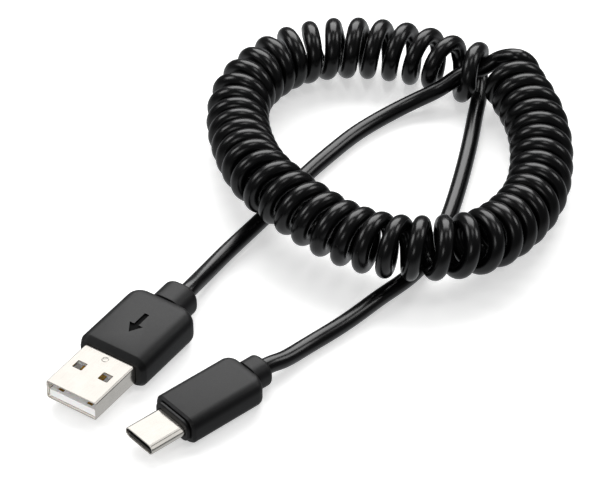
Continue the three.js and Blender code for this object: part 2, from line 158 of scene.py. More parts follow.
@dataclass(frozen=True)
class Finish:
    """A material and the way its surface was made.

    Attributes:
        name: The real material and process.
        slot: The record's slot. Not used.
        colour: Its colour as sRGB hex.
        roughness: The shader's roughness.
        metallic: One for a metal.
        ior: Refractive index, left at the default on a metal.
    """

    name: str
    slot: Slot
    colour: str
    roughness: float
    metallic: float = 0.0
    ior: float = 1.5

    def material(self) -> bpy.types.Material:
        """Makes the material once and gives the same one after that."""
        known = bpy.data.materials.get(self.name)
        if known is not None:
            return known
        made = bpy.data.materials.new(self.name)
        made.use_nodes = True
        made.diffuse_color = linear(self.colour)
        tree = made.node_tree
        tree.nodes.clear()
        shader = add_node(tree, "ShaderNodeBsdfPrincipled", {
            "Base Color": linear(self.colour), "Roughness": self.roughness,
            "Metallic": self.metallic, "IOR": self.ior})
        add_node(tree, "ShaderNodeOutputMaterial", {"Surface": shader.outputs["BSDF"]})
        self.dress(tree, shader)
        return made

    def dress(self, tree: Tree, shader: Node) -> None:
        """Adds this finish's own pattern to the shader.

        Args:
            tree: The material's node tree.
            shader: Its Principled shader.
        """

    def work_face(self, tree: Tree, shader: Node, relief: Socket, dent: Sizes,
                  swing: Sizes = (), span: Sizes = (0.0, 1.0), drift: Socket | None = None,
                  tints: tuple[str, ...] = ()) -> None:
        """Ties patterns to the shader: a relief, a swing of the roughness, a drift of the tint.

        Args:
            tree: The material's node tree.
            shader: Its Principled shader.
            relief: The pattern that dents the face and swings the roughness.
            dent: How far the relief turns the light, and its depth.
            swing: What the roughness gains at the pattern's low and high end, if it swings.
            span: The pattern's low and high end.
            drift: The pattern that the tint follows, if it drifts.
            tints: The sRGB hex tints where that pattern is zero and one.
        """
        bump = add_node(tree, "ShaderNodeBump", {
            "Height": relief, "Strength": dent[0], "Distance": dent[1]})
        tree.links.new(bump.outputs["Normal"], shader.inputs["Normal"])
        if swing:
            polish = add_node(tree, "ShaderNodeMapRange", {
                "Value": relief, "From Min": span[0], "From Max": span[1],
                "To Min": self.roughness + swing[0], "To Max": self.roughness + swing[1]})
            tree.links.new(polish.outputs["Result"], shader.inputs["Roughness"])
        if drift is not None:
            mix = add_node(tree, "ShaderNodeMix", {
                0: drift, 6: linear(tints[0]), 7: linear(tints[1])}, data_type="RGBA")
            tree.links.new(mix.outputs[2], shader.inputs["Base Color"])


@dataclass(frozen=True)
class SparkErodedPvc(Finish):
    """Soft PVC moulded in a spark-eroded tool: an even, fine matt grain that greys the black.

    Attributes:
        grain: Size of the eroded grain. The real one is about 0.05 mm; it is drawn at 0.16 mm
            so that it shows.
        cloud: Size of the faint flow clouds in the moulding.
        second_colour: The lighter tint that the clouds drift to.
        specular: Strength of the gloss.
    """

    grain: float = 0.16 * MM
    cloud: float = 5 * MM
    second_colour: str = "#19191A"
    specular: float = 0.3

    def dress(self, tree: Tree, shader: Node) -> None:
        """Clouds change the colour a little; the grain sets the roughness and the relief."""
        shader.inputs["Specular IOR Level"].default_value = self.specular
        place = add_node(tree, "ShaderNodeTexCoord").outputs["Object"]
        clouds = add_node(tree, "ShaderNodeTexNoise", {
            "Vector": place, "Scale": 1 / self.cloud, "Detail": 3.0, "Roughness": 0.6})
        grain = add_node(tree, "ShaderNodeTexNoise", {
            "Vector": place, "Scale": 1 / self.grain, "Detail": 2.0, "Roughness": 0.55})
        self.work_face(tree, shader, grain.outputs["Fac"], (0.35, 0.02 * MM), (-0.06, 0.06),
                       NOISE_SPAN, clouds.outputs["Fac"], (self.colour, self.second_colour))


@dataclass(frozen=True)
class ExtrudedPvc(Finish):
    """Glossy PVC jacket drawn through a die: clear highlights with faint lines along the cord.

    Attributes:
        die_lines: How many die lines go round the cord.
        wave: Length of the slow swelling that the line speed leaves.
        specular: Strength of the gloss.
    """

    die_lines: float = 26.0
    wave: float = 9 * MM
    specular: float = 0.45

    def dress(self, tree: Tree, shader: Node) -> None:
        """The cord's own map runs along it in metres and once round it, so the lines follow."""
        shader.inputs["Specular IOR Level"].default_value = self.specular
        along = add_node(tree, "ShaderNodeUVMap", uv_map="along")
        stretch = add_node(tree, "ShaderNodeMapping", {
            "Vector": along.outputs["UV"], "Scale": (1 / self.wave, self.die_lines, 1.0)})
        lines = add_node(tree, "ShaderNodeTexNoise", {
            "Vector": stretch.outputs["Vector"], "Scale": 1.0, "Detail": 3.0, "Roughness": 0.6})
        self.work_face(tree, shader, lines.outputs["Fac"], (0.2, 0.02 * MM), (-0.03, 0.05),
                       NOISE_SPAN)


@dataclass(frozen=True)
class PlatedMetal(Finish):
    """Plating whose marks run along the plug.

    Attributes:
        metallic: One, as for every metal.
        heading: Angle of the plug's axis in degrees, which the marks follow.
        mark: Width of a mark.
        slender: A mark's width over its length.
        octaves: How fine the marks break up.
    """

    metallic: float = 1.0
    heading: float = 0.0
    mark: float = 0.12 * MM
    slender: float = 0.03
    octaves: float = 2.0

    def marks(self, tree: Tree, place: Socket) -> Socket:
        """Noise turned to the plug's heading and stretched along it.

        Args:
            tree: The material's node tree.
            place: The object's own coordinates.

        Returns:
            The noise.
        """
        turned = add_node(tree, "ShaderNodeMapping", {
            "Vector": place, "Rotation": (0.0, 0.0, -math.radians(self.heading))})
        stretched = add_node(tree, "ShaderNodeMapping", {
            "Vector": turned.outputs["Vector"],
            "Scale": (self.slender / self.mark, 1 / self.mark, 1 / self.mark)})
        return add_node(tree, "ShaderNodeTexNoise", {
            "Vector": stretched.outputs["Vector"], "Scale": 1.0,
            "Detail": self.octaves}).outputs["Fac"]


@dataclass(frozen=True)
class NickelPlate(PlatedMetal):
    """Bright nickel on rolled steel: mirror-like, with fine rolling lines along the plug.

    The real lines are a few microns apart; they are drawn at 0.12 mm so that they show.

    Attributes:
        patch: Size of the patches of thinner plating.
        duller: Their tint.
    """

    patch: float = 3 * MM
    duller: str = "#D8D4CD"

    def dress(self, tree: Tree, shader: Node) -> None:
        """The lines set the polish and the relief; slow noise varies the tint."""
        place = add_node(tree, "ShaderNodeTexCoord").outputs["Object"]
        patches = add_node(tree, "ShaderNodeTexNoise", {
            "Vector": place, "Scale": 1 / self.patch, "Detail": 2.0})
        self.work_face(tree, shader, self.marks(tree, place), (0.12, 0.004 * MM), (-0.05, 0.07),
                       NOISE_SPAN, patches.outputs["Fac"], (self.colour, self.duller))


@dataclass(frozen=True)
class GoldFlash(PlatedMetal):
    """Thin gold over nickel on stamped contacts: warm, with wipe marks along the contact.

    Attributes:
        worn: Tint where the nickel begins to show through.
    """

    mark: float = 0.08 * MM
    slender: float = 0.08
    octaves: float = 3.0
    worn: str = "#C7A45A"

    def dress(self, tree: Tree, shader: Node) -> None:
        """The wipe marks change the tint, the polish and the relief."""
        place = add_node(tree, "ShaderNodeTexCoord").outputs["Object"]
        marks = self.marks(tree, place)
        self.work_face(tree, shader, marks, (0.1, 0.004 * MM), (-0.06, 0.1), drift=marks,
                       tints=(self.colour, self.worn))


@dataclass(frozen=True)
class MouldedNylon(Finish):
    """Glass-filled nylon from a ground tool: a satin face with short glass fibres near it.

    Attributes:
        fibre: Width of a glass fibre's print. The real one is 0.01 mm; it is drawn at 0.07 mm
            so that it shows.
        flow: Size of the flow marks in the filled melt.
        bleached: Tint over a flow mark.
        milkiness: How far light scatters into it, as a weight.
    """

    fibre: float = 0.07 * MM
    flow: float = 1.2 * MM
    bleached: str = "#F2F1EE"
    milkiness: float = 0.0

    def dress(self, tree: Tree, shader: Node) -> None:
        """Cells give the fibre prints, and slow noise the flow of the filled melt."""
        shader.inputs["Subsurface Weight"].default_value = self.milkiness
        shader.inputs["Subsurface Scale"].default_value = 0.4 * MM
        place = add_node(tree, "ShaderNodeTexCoord").outputs["Object"]
        cells = add_node(tree, "ShaderNodeTexVoronoi", {"Vector": place, "Scale": 1 / self.fibre})
        flow = add_node(tree, "ShaderNodeTexNoise", {
            "Vector": place, "Scale": 1 / self.flow, "Detail": 3.0})
        self.work_face(tree, shader, cells.outputs["Distance"], (0.15, 0.006 * MM), (-0.05, 0.08),
                       drift=flow.outputs["Fac"], tints=(self.colour, self.bleached))


@dataclass(frozen=True)
class InsertMouldedPolyethylene(Finish):
    """Natural polyethylene shot over the joints: milky and waxy, with slow sink marks.

    Attributes:
        sink: Size of the sink marks.
        yellowed: Tint where the melt ran hottest.
    """

    sink: float = 1.8 * MM
    yellowed: str = "#C9C1A6"

    def dress(self, tree: Tree, shader: Node) -> None:
        """Slow noise dents the face and warms its tint, and light scatters under the skin."""
        shader.inputs["Subsurface Weight"].default_value = 0.35
        shader.inputs["Subsurface Scale"].default_value = 1.0 * MM
        place = add_node(tree, "ShaderNodeTexCoord").outputs["Object"]
        sinks = add_node(tree, "ShaderNodeTexNoise", {
            "Vector": place, "Scale": 1 / self.sink, "Detail": 2.0}).outputs["Fac"]
        self.work_face(tree, shader, sinks, (0.4, 0.05 * MM), (-0.05, 0.1), drift=sinks,
                       tints=(self.colour, self.yellowed))


@dataclass(frozen=True)
class SolderMaskedBoard(Finish):
    """Green solder mask over woven glass laminate: the weave shows as a faint square grid.

    Attributes:
        weave: Spacing of the glass yarns under the mask.
        deeper: Tint over the gaps between yarns.
    """

    weave: float = 0.45 * MM
    deeper: str = "#174A2F"

    def dress(self, tree: Tree, shader: Node) -> None:
        """Two crossed waves make the weave, which tints and dents the glossy mask."""
        place = add_node(tree, "ShaderNodeTexCoord").outputs["Object"]
        warp, weft = (add_node(tree, "ShaderNodeTexWave", {
            "Vector": place, "Scale": BAND_SPACING / self.weave, "Distortion": 0.6},
            bands_direction=axis) for axis in ("X", "Y"))
        cloth = add_node(tree, "ShaderNodeMath", {
            0: warp.outputs["Fac"], 1: weft.outputs["Fac"]}, operation="MULTIPLY").outputs["Value"]
        self.work_face(tree, shader, cloth, (0.2, 0.01 * MM), drift=cloth,
                       tints=(self.deeper, self.colour))


@dataclass(frozen=True)
class PrintedCeramic(Finish):
    """A chip resistor's glazed black print on ceramic: glossy with a slightly uneven glaze.

    Attributes:
        ripple: Size of the ripples in the glaze.
        thin: Tint where the glaze is thin.
    """

    ripple: float = 0.15 * MM
    thin: str = "#34343A"

    def dress(self, tree: Tree, shader: Node) -> None:
        """Noise makes the glaze's ripples and shows the ceramic through where it is thin."""
        place = add_node(tree, "ShaderNodeTexCoord").outputs["Object"]
        ripples = add_node(tree, "ShaderNodeTexNoise", {
            "Vector": place, "Scale": 1 / self.ripple, "Detail": 2.0}).outputs["Fac"]
        self.work_face(tree, shader, ripples, (0.2, 0.01 * MM), drift=ripples,
                       tints=(self.colour, self.thin))


@dataclass(frozen=True)
class WireInsulation(Finish):
    """Thin coloured insulation drawn over a core: satin, with the strands' twist showing.

    Attributes:
        strand: Spacing of the strands under the skin.
        strands_round: How many strands show round the wire.
        shade: Tint between two strands, painted shade in the grooves there.
    """

    strand: float = 0.3 * MM
    strands_round: float = 7.0
    shade: str = "#202020"

    def dress(self, tree: Tree, shader: Node) -> None:
        """A slanted wave prints the twisted strands through the skin and paints shade into the grooves
        between them.
        """
        along = add_node(tree, "ShaderNodeUVMap", uv_map="along")
        slant = add_node(tree, "ShaderNodeMapping", {
            "Vector": along.outputs["UV"], "Scale": (1 / (4 * self.strand), self.strands_round, 1.0)})
        strands = add_node(tree, "ShaderNodeTexWave", {
            "Vector": slant.outputs["Vector"], "Scale": BAND_SPACING, "Distortion": 0.3},
            bands_direction="DIAGONAL").outputs["Fac"]
        # painted shade: the tint leans towards the shade colour in the grooves between strands
        between = add_node(tree, "ShaderNodeMapRange", {
            "Value": strands, "To Min": 0.12, "To Max": 0.0})
        self.work_face(tree, shader, strands, (0.25, 0.01 * MM), drift=between.outputs["Result"],
                       tints=(self.colour, self.shade))


@dataclass(frozen=True)
class PaintedTable(Finish):
    """Matt white sprayed board, lit from below as a light table is, so that shadows stay pale.

    Attributes:
        peel: Size of the orange peel in the paint.
        glow: Brightness of the light that comes through it.
    """

    peel: float = 1.5 * MM
    glow: float = 0.52

    def dress(self, tree: Tree, shader: Node) -> None:
        """Noise gives the orange peel, and the board glows evenly."""
        shader.inputs["Emission Color"].default_value = linear("#FFFFFF")
        shader.inputs["Emission Strength"].default_value = self.glow
        place = add_node(tree, "ShaderNodeTexCoord").outputs["Object"]
        peel = add_node(tree, "ShaderNodeTexNoise", {"Vector": place, "Scale": 1 / self.peel})
        self.work_face(tree, shader, peel.outputs["Fac"], (0.03, 0.02 * MM))


MOULDED_BLACK = SparkErodedPvc("spark_eroded_pvc", Slot.BLACK_MOULDING, "#121213", 0.5, ior=1.52)
# The arrow's recess: a coarser, duller grain that is real, and a darker black that is painted shade in
# the recess.
ARROW_RECESS_SHADE = SparkErodedPvc("coarse_pvc_painted_recess_shade", Slot.BLACK_MOULDING, "#050505", 0.85, ior=1.52,
                            second_colour="#0A0A0A", specular=0.1)
CORD_JACKET = ExtrudedPvc("extruded_pvc_jacket", Slot.BLACK_JACKET, "#080809", 0.24, ior=1.52)
WHITE_TONGUE = MouldedNylon("moulded_white_nylon", Slot.WHITE_NYLON, "#E4E4E6", 0.42, milkiness=0.1)
BLACK_TONGUE = MouldedNylon("moulded_black_nylon", Slot.BLACK_NYLON, "#171717", 0.45,
                            bleached="#222223")
INNER_SHOT = InsertMouldedPolyethylene("insert_moulded_polyethylene", Slot.INNER_MOULDING,
                                       "#D3D1C6", 0.45, ior=1.51)
GREEN_BOARD = SolderMaskedBoard("solder_masked_laminate", Slot.CIRCUIT_BOARD, "#1F5C3A", 0.3)
CHIP_PRINT = PrintedCeramic("glazed_chip_ceramic", Slot.RESISTOR_BODY, "#1E1E20", 0.3)
WIRE_FINISHES = {
    colour: WireInsulation(f"drawn_insulation_{colour}", Slot(f"wire_{colour}"), tint, 0.4)
    for colour, tint in (("red", "#B3261E"), ("white", "#E8E6E0"), ("green", "#2F7D3A"),
                         ("black", "#1C1C1C"))}


# ---------------------------------------------------------------- surfaces


@dataclass(frozen=True)
class Surface:
    """Points and quads, with any flat end caps, before they become an object.

    Attributes:
        points: One row of x, y and z for each point.
        quads: One row of four point numbers for each face.
        caps: End faces with more than four corners.
        map: Two map coordinates for each corner of each quad, or None.
    """

    points: np.ndarray
    quads: np.ndarray
    caps: tuple[list[int], ...] = ()
    map: np.ndarray | None = None

    def volume(self) -> float:
        """Sums, over the quads, the volume of the wedge from the middle point to each quad."""
        corner = (self.points - self.points.mean(axis=0))[self.quads]
        first = np.cross(corner[:, 1], corner[:, 2])
        second = np.cross(corner[:, 2], corner[:, 3])
        return float(((first + second) * corner[:, 0]).sum() / 6)

    def outward(self) -> "Surface":
        """Gives the same surface with its faces turned to point outwards."""
        if self.volume() >= 0:
            return self
        turned = None if self.map is None else self.map[:, ::-1]
        caps = tuple(cap[::-1] for cap in self.caps)
        return replace(self, quads=self.quads[:, ::-1], caps=caps, map=turned)

    def moved(self, shift: Sequence[float]) -> "Surface":
        """Gives the same surface a shift away."""
        return replace(self, points=self.points + np.array(shift))

    def standing(self) -> "Surface":
        """Turns a surface made along X so that it stands along Z: x, y, z become z, x, y."""
        return replace(self, points=self.points[:, [1, 2, 0]])


def lofted(rings: np.ndarray, closed: bool, ring_map: np.ndarray | None = None) -> Surface:
    """Joins rings of points, each closed on itself, into quads.

    Args:
        rings: Points by ring, by place round it, and by axis.
        closed: True if the last ring joins the first. Otherwise a flat face closes each end.
        ring_map: The map coordinates of each quad's corners, if it has a map.

    Returns:
        The closed surface.
    """
    count, around = rings.shape[:2]
    row = np.arange(count if closed else count - 1)[:, None]
    column = np.arange(around)[None, :]
    after = (row + 1) % count
    beside = (column + 1) % around
    corners = [row * around + column, row * around + beside,
               after * around + beside, after * around + column]
    quads = np.stack(np.broadcast_arrays(*corners), axis=-1).reshape(-1, 4)
    ends = (list(range(around))[::-1], list(range((count - 1) * around, count * around)))
    return Surface(rings.reshape(-1, 3), quads, () if closed else ends, ring_map)


def stand(name: str, data: bpy.types.ID) -> Piece:
    """Puts a mesh, a lamp or a camera into the scene, at the origin."""
    thing = bpy.data.objects.new(name, data)
    bpy.context.scene.collection.objects.link(thing)
    return thing


def shade(mesh: bpy.types.Mesh, smooth_to: float = SMOOTH_ANGLE) -> None:
    """Shades a mesh smooth, apart from its edges that are steeper than an angle in degrees."""
    mesh.polygons.foreach_set("use_smooth", np.ones(len(mesh.polygons), bool))
    mesh.set_sharp_from_angle(angle=math.radians(smooth_to))


def make_piece(name: str, surface: Surface, finish: Finish | None,
               smooth_to: float = SMOOTH_ANGLE) -> Piece:
    """Puts a surface into a mesh object, smooth where its faces meet gently.

    Args:
        name: The piece's name.
        surface: The surface, in the frame's axes.
        finish: What it is made of, or None for a cutter.
        smooth_to: The steepest angle in degrees that is still shaded smooth.

    Returns:
        The new object, at the origin.
    """
    surface = surface.outward()
    mesh = bpy.data.meshes.new(name)
    mesh.from_pydata(surface.points.tolist(), [], surface.quads.tolist() + [*surface.caps])
    if surface.map is not None:
        layer = mesh.uv_layers.new(name="along")
        corners = np.zeros((len(mesh.loops), 2), np.float32)
        corners[:surface.map.shape[0] * 4] = surface.map.reshape(-1, 2)
        layer.data.foreach_set("uv", corners.ravel())
    shade(mesh, smooth_to)
    if finish is not None:
        mesh.materials.append(finish.material())
    return stand(name, mesh)


def section_stack(rows: Sequence[Row], per_corner: int) -> np.ndarray:
    """Rounded rectangles standing across +X, one for each row.

    A section is four quarter circles of its corner radius, about centres that lie that radius
    in from its width and its height; the straight sides join them.

    Args:
        rows: Place along X, width, height and corner radius of each section.
        per_corner: How many steps each quarter circle has.

    Returns:
        Points by section, by place round it, and by axis.
    """
    place, width, height, corner = (np.asarray(rows, float)[:, k, None] for k in range(4))
    quarter = np.linspace(0, math.pi / 2, per_corner + 1)
    angle = (np.arange(4)[:, None] * math.pi / 2 + quarter).ravel()
    side_y = np.repeat([1, -1, -1, 1], per_corner + 1)
    side_z = np.repeat([1, 1, -1, -1], per_corner + 1)
    y = side_y * (width / 2 - corner) + corner * np.cos(angle)
    z = side_z * (height / 2 - corner) + corner * np.sin(angle)
    return np.stack([np.broadcast_to(place, y.shape), y, z], axis=-1)


def sleeve(rows: Sequence[Row], per_corner: int = 6) -> Surface:
    """A hollow piece: its sections go along the outside and come back along the inside."""
    return lofted(section_stack(rows, per_corner), True)


def bar(rows: Sequence[Row], per_corner: int = 6) -> Surface:
    """A solid piece along X with a flat face at each end."""
    return lofted(section_stack(rows, per_corner), False)


def disc(x: float, diameter: float) -> Row:
    """A round section: its corner radius is half its width."""
    return x, diameter, diameter, diameter / 2


def rounded_end(end: float, section: Sizes, radius: float, fall: float, corner_fall: float) -> list[Row]:
    """Sections that close a piece by a quarter ellipse.

    Along X they follow the sine of an angle that grows to 90 degrees. The half width, the half
    height and the corner radius shrink in step with one minus its cosine.

    Args:
        end: Where the piece ends.
        section: Width, height and corner radius before the round.
        radius: The round's length, and what it takes off the half width.
        fall: What it takes off the half height.
        corner_fall: What it takes off the corner radius.

    Returns:
        Place, width, height and corner radius of each section.
    """
    width, height, corner = section
    lost = [(math.sin(t), 1 - math.cos(t)) for t in np.linspace(0, math.pi / 2, 9)]
    return [(end - radius + radius * ahead, width - 2 * radius * share, height - 2 * fall * share,
             corner - corner_fall * share) for ahead, share in lost]


def path_length(points: np.ndarray) -> np.ndarray:
    """Distance along a path up to each of its points."""
    return np.concatenate([[0.0], np.cumsum(np.linalg.norm(np.diff(points, axis=0), axis=1))])


def natural_spline(knots: np.ndarray, step: float) -> np.ndarray:
    """Smooth curve through the knots, in even steps.

    Between two knots the curve is a cubic in a parameter that grows by the square root of the
    knots' distance; its second derivative is continuous and is zero at both ends.

    Args:
        knots: One row for each knot; its first three columns are x, y and z.
        step: Distance between the points that come back.

    Returns:
        Points along the curve, with as many columns as the knots.
    """
    spans = np.sqrt(np.linalg.norm(np.diff(knots[:, :3], axis=0), axis=1))
    at = np.concatenate([[0.0], np.cumsum(spans)])
    count = len(knots)
    inner = np.arange(1, count - 1)
    system = np.eye(count)
    system[inner, inner - 1] = spans[:-1]
    system[inner, inner] = 2 * (spans[:-1] + spans[1:])
    system[inner, inner + 1] = spans[1:]
    slopes = np.diff(knots, axis=0) / spans[:, None]
    right = np.zeros_like(knots)
    right[1:-1] = 6 * np.diff(slopes, axis=0)
    bend = np.linalg.solve(system, right)
    samples_per_knot = 24
    fine = np.linspace(0, at[-1], samples_per_knot * count)
    k = np.clip(np.searchsorted(at, fine, side="right") - 1, 0, count - 2)
    left, ahead, span = (fine - at[k])[:, None], (at[k + 1] - fine)[:, None], spans[k][:, None]
    curve = ((bend[k] * ahead ** 3 + bend[k + 1] * left ** 3) / (6 * span)
             + (knots[k] / span - bend[k] * span / 6) * ahead
             + (knots[k + 1] / span - bend[k + 1] * span / 6) * left)
    run = path_length(curve[:, :3])
    even = np.linspace(0, run[-1], int(round(run[-1] / step)) + 1)
    return np.stack([np.interp(even, run, column) for column in curve.T], axis=1)


def tube(path: np.ndarray, beside: np.ndarray, radius: float, sides: int) -> Surface:
    """Round tube along a path, with its own map.

    Each ring lies across the path's direction. Its first point is on the side away from the
    point in beside, and the others follow round the path: centre plus radius times the cosine
    of the angle along that side and the sine of the angle along the third direction.

    Args:
        path: The centre line's points.
        beside: A point off the centre line for each of them.
        radius: The tube's radius.
        sides: How many points each ring has.

    Returns:
        The tube, closed by a flat face at each end. Its map runs along in metres and round once.
    """
    ahead = np.gradient(path, axis=0)
    ahead /= np.linalg.norm(ahead, axis=1)[:, None]
    away = path - beside
    away -= (away * ahead).sum(axis=1)[:, None] * ahead
    away /= np.linalg.norm(away, axis=1)[:, None]
    third = np.cross(ahead, away)
    angle = np.linspace(0, TAU, sides, endpoint=False)[None, :, None]
    rings = path[:, None] + radius * (np.cos(angle) * away[:, None] + np.sin(angle) * third[:, None])
    run = path_length(path)
    low, high = run[:-1, None], run[1:, None]
    turn = np.arange(sides)[None, :] / sides
    corners = [(low, turn), (low, turn + 1 / sides), (high, turn + 1 / sides), (high, turn)]
    ring_map = np.stack([np.stack(np.broadcast_arrays(*corner), axis=-1) for corner in corners], axis=2)
    return lofted(rings, False, ring_map.reshape(-1, 4, 2))


def carve(piece: Piece, cutters: Sequence[Surface]) -> Piece:
    """Cuts closed shapes out of a piece and keeps the result as its mesh.

    Args:
        piece: The piece to cut.
        cutters: The shapes to take away, in the frame's axes.

    Returns:
        The same piece.
    """
    helpers = [make_piece(f"cutter_{number}", cutter, None) for number, cutter in enumerate(cutters)]
    for helper in helpers:
        cut = piece.modifiers.new("cut", "BOOLEAN")
        cut.operation = "DIFFERENCE"
        cut.solver = "EXACT"
        cut.object = helper
    graph = bpy.context.evaluated_depsgraph_get()
    mesh = bpy.data.meshes.new_from_object(piece.evaluated_get(graph))
    piece.modifiers.clear()
    piece.data = mesh
    for helper in helpers:
        bpy.data.objects.remove(helper)
    shade(mesh)
    return piece


def settle(piece: Piece, finish: Finish, *nodes: str, body: Body = Body.CABLE) -> Piece:
    """Says what a piece rides on and stands for, and reports it.

    Args:
        piece: The finished piece.
        finish: What it is made of. Not used.
        *nodes: The frame's nodes that it stands for.
        body: The body that it moves with.

    Returns:
        The same piece.
    """
    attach(piece, body.value)
    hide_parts(*nodes)
    faces = len(piece.data.polygons)
    log.info("%s: %d faces, on %s, for %s", piece.name, faces, body.value, ", ".join(nodes))
    return piece


def eased_copy(node: str, name: str, finish: Finish, edge: float, body: Body = Body.CABLE) -> Piece:
    """A stamped, moulded or sawn piece from the frame with its sharp edges eased.

    The frame's flat facets are joined into whole faces, and every edge sharper than
    STAMPED_ANGLE gets a small round of the given width.

    Args:
        node: The frame's node.
        name: The new piece's name.
        finish: What it is made of.
        edge: Width of the round on its edges.
        body: The body that it moves with.

    Returns:
        The new piece.
    """
    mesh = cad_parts[node].data.copy()
    mesh.name = name
    work = bmesh.new()
    work.from_mesh(mesh)
    same_point = 0.001 * MM
    same_face = math.radians(1)
    bmesh.ops.remove_doubles(work, verts=work.verts, dist=same_point)
    bmesh.ops.dissolve_limit(work, angle_limit=same_face, verts=work.verts, edges=work.edges)
    work.to_mesh(mesh)
    work.free()
    mesh.materials.clear()
    mesh.materials.append(finish.material())
    shade(mesh, STAMPED_ANGLE)
    piece = stand(name, mesh)
    ease = piece.modifiers.new("eased_edges", "BEVEL")
    ease.width = edge
    ease.segments = 2
    ease.limit_method = "ANGLE"
    ease.angle_limit = math.radians(STAMPED_ANGLE)
    return settle(piece, finish, node, body=body)


# ---------------------------------------------------------------- studio


class Reach(Enum):
    """Which pieces a lamp lights: the bright ones only, or all but those."""

    BRIGHT = "INCLUDE"
    DARK = "EXCLUDE"


@dataclass(frozen=True)
class Softbox:
    """A soft rectangular lamp that faces the origin.

    Attributes:
        name: The lamp's name.
        place: Where it stands.
        width: Its width.
        depth: Its depth.
        radiance: How bright its face is, where one is a white that just saturates.
        reach: Which pieces it lights.
    """

    name: str
    place: tuple[float, float, float]
    width: float
    depth: float
    radiance: float
    reach: Reach

    def build(self, bright: Sequence[Piece]) -> None:
        """Hangs the lamp.

        Args:
            bright: The plated and white pieces, which a lamp may be kept to or kept off.
        """
        data = bpy.data.lights.new(self.name, "AREA")
        data.shape = "RECTANGLE"
        data.size = self.width
        data.size_y = self.depth
        data.energy = self.radiance * math.pi * self.width * self.depth
        lamp = stand(self.name, data)
        lamp.location = self.place
        lamp.rotation_euler = (Vector() - Vector(self.place)).to_track_quat("-Z", "Y").to_euler()
        chosen = bpy.data.collections.new(f"{self.name}_reach")
        for number, piece in enumerate(bright):
            chosen.objects.link(piece)
            chosen.collection_objects[number].light_linking.link_state = self.reach.value
        lamp.light_linking.receiver_collection = chosen


@dataclass(frozen=True)
class Studio:
    """White table, soft lamps and the camera above the plugs' side.

    Attributes:
        look_at: The point in the middle of the frame.
        distance: From that point to the camera.
        elevation: The camera's height above the table, in degrees.
        lens: Focal length in millimetres on a 36 mm sensor.
        table: Length of the table's side.
        ceiling: Brightness of the room above the table's level.
        bounce: Brightness of what shines up from below it.
        lamps: Some light the black pieces. The mouth lamp and the tent light the bright ones.
    """

    look_at: tuple[float, float, float] = (-4.0 * MM, 1.4 * MM, 0.0)
    distance: float = 685.9 * MM
    elevation: float = 40.583
    lens: float = 199.39
    table: float = 5.0
    ceiling: float = 0.1
    bounce: float = 0.6
    lamps: tuple[Softbox, ...] = (
        Softbox("back", (0.05, 1.1, 1.12), 1.5, 1.2, 4.8, Reach.DARK),
        Softbox("overhead", (0.1, -0.1, 1.2), 0.4, 0.3, 3.0, Reach.DARK),
        Softbox("front", (-0.4, -1.0, 0.65), 0.35, 0.35, 3.0, Reach.DARK),
        Softbox("mouth", (-0.45, -0.9, 0.3), 0.6, 0.6, 5.0, Reach.BRIGHT),
        Softbox("tent_top", (0.0, 0.0, 1.6), 1.6, 1.6, 0.9, Reach.BRIGHT),
        Softbox("tent_back", (0.0, 1.25, 0.85), 2.4, 1.6, 1.3, Reach.BRIGHT),
        Softbox("tent_front", (0.0, -1.3, 0.8), 2.4, 1.4, 0.85, Reach.BRIGHT),
        Softbox("tent_left", (-1.3, 0.0, 0.75), 2.0, 1.4, 0.8, Reach.BRIGHT),
        Softbox("tent_right", (1.3, 0.0, 0.75), 2.0, 1.4, 0.8, Reach.BRIGHT),
        Softbox("left", (-0.95, 0.15, 0.72), 0.5, 0.5, 4.0, Reach.DARK),
        Softbox("right", (0.95, 0.2, 0.75), 0.45, 0.45, 4.0, Reach.DARK),
    )

    def camera(self) -> None:
        """Stands the camera on the plugs' side, looking along +Y and down."""
        data = bpy.data.cameras.new("camera")
        data.sensor_width = 36.0
        data.lens = self.lens
        data.clip_start = 0.01
        camera = stand("camera", data)
        angle = math.radians(self.elevation)
        away = Vector((0, -math.cos(angle), math.sin(angle)))
        camera.location = Vector(self.look_at) + self.distance * away
        camera.rotation_euler = (math.pi / 2 - angle, 0, 0)
        bpy.context.scene.camera = camera

    def room(self) -> bpy.types.World:
        """A dark room with a pale glow from below, which fades in just under the horizon."""
        room = bpy.data.worlds.new("room")
        room.use_nodes = True
        tree = room.node_tree
        sky = tree.nodes["Background"]
        sky.inputs["Color"].default_value = linear("#F4F6F8")
        heading = add_node(tree, "ShaderNodeTexCoord").outputs["Generated"]
        height = add_node(tree, "ShaderNodeSeparateXYZ", {"Vector": heading}).outputs["Z"]
        level = add_node(tree, "ShaderNodeMapRange", {
            "Value": height, "From Min": -0.5, "From Max": -0.1,
            "To Min": self.bounce, "To Max": self.ceiling})
        tree.links.new(level.outputs["Result"], sky.inputs["Strength"])
        return room

    def build(self, bright: Sequence[Piece]) -> None:
        """Sets the table, the room's light and the lamps.

        Args:
            bright: The plated and white pieces, which have lamps of their own.
        """
        half = self.table / 2
        corners = np.array([[-half, -half, 0], [half, -half, 0], [half, half, 0], [-half, half, 0]])
        paint = PaintedTable("sprayed_white_board", Slot.WHITE_NYLON, "#EFEFEE", 0.75)
        table = make_piece("table", Surface(corners, np.array([[0, 1, 2, 3]])), paint)
        table.visible_glossy = False
        table.visible_diffuse = False
        table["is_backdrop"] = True
        bpy.context.scene.world = self.room()
        for lamp in self.lamps:
            lamp.build(bright)
        bpy.context.scene.view_settings.view_transform = "Standard"
        log.info("studio: table, %d lamps, camera", len(self.lamps))


# ---------------------------------------------------------------- plugs


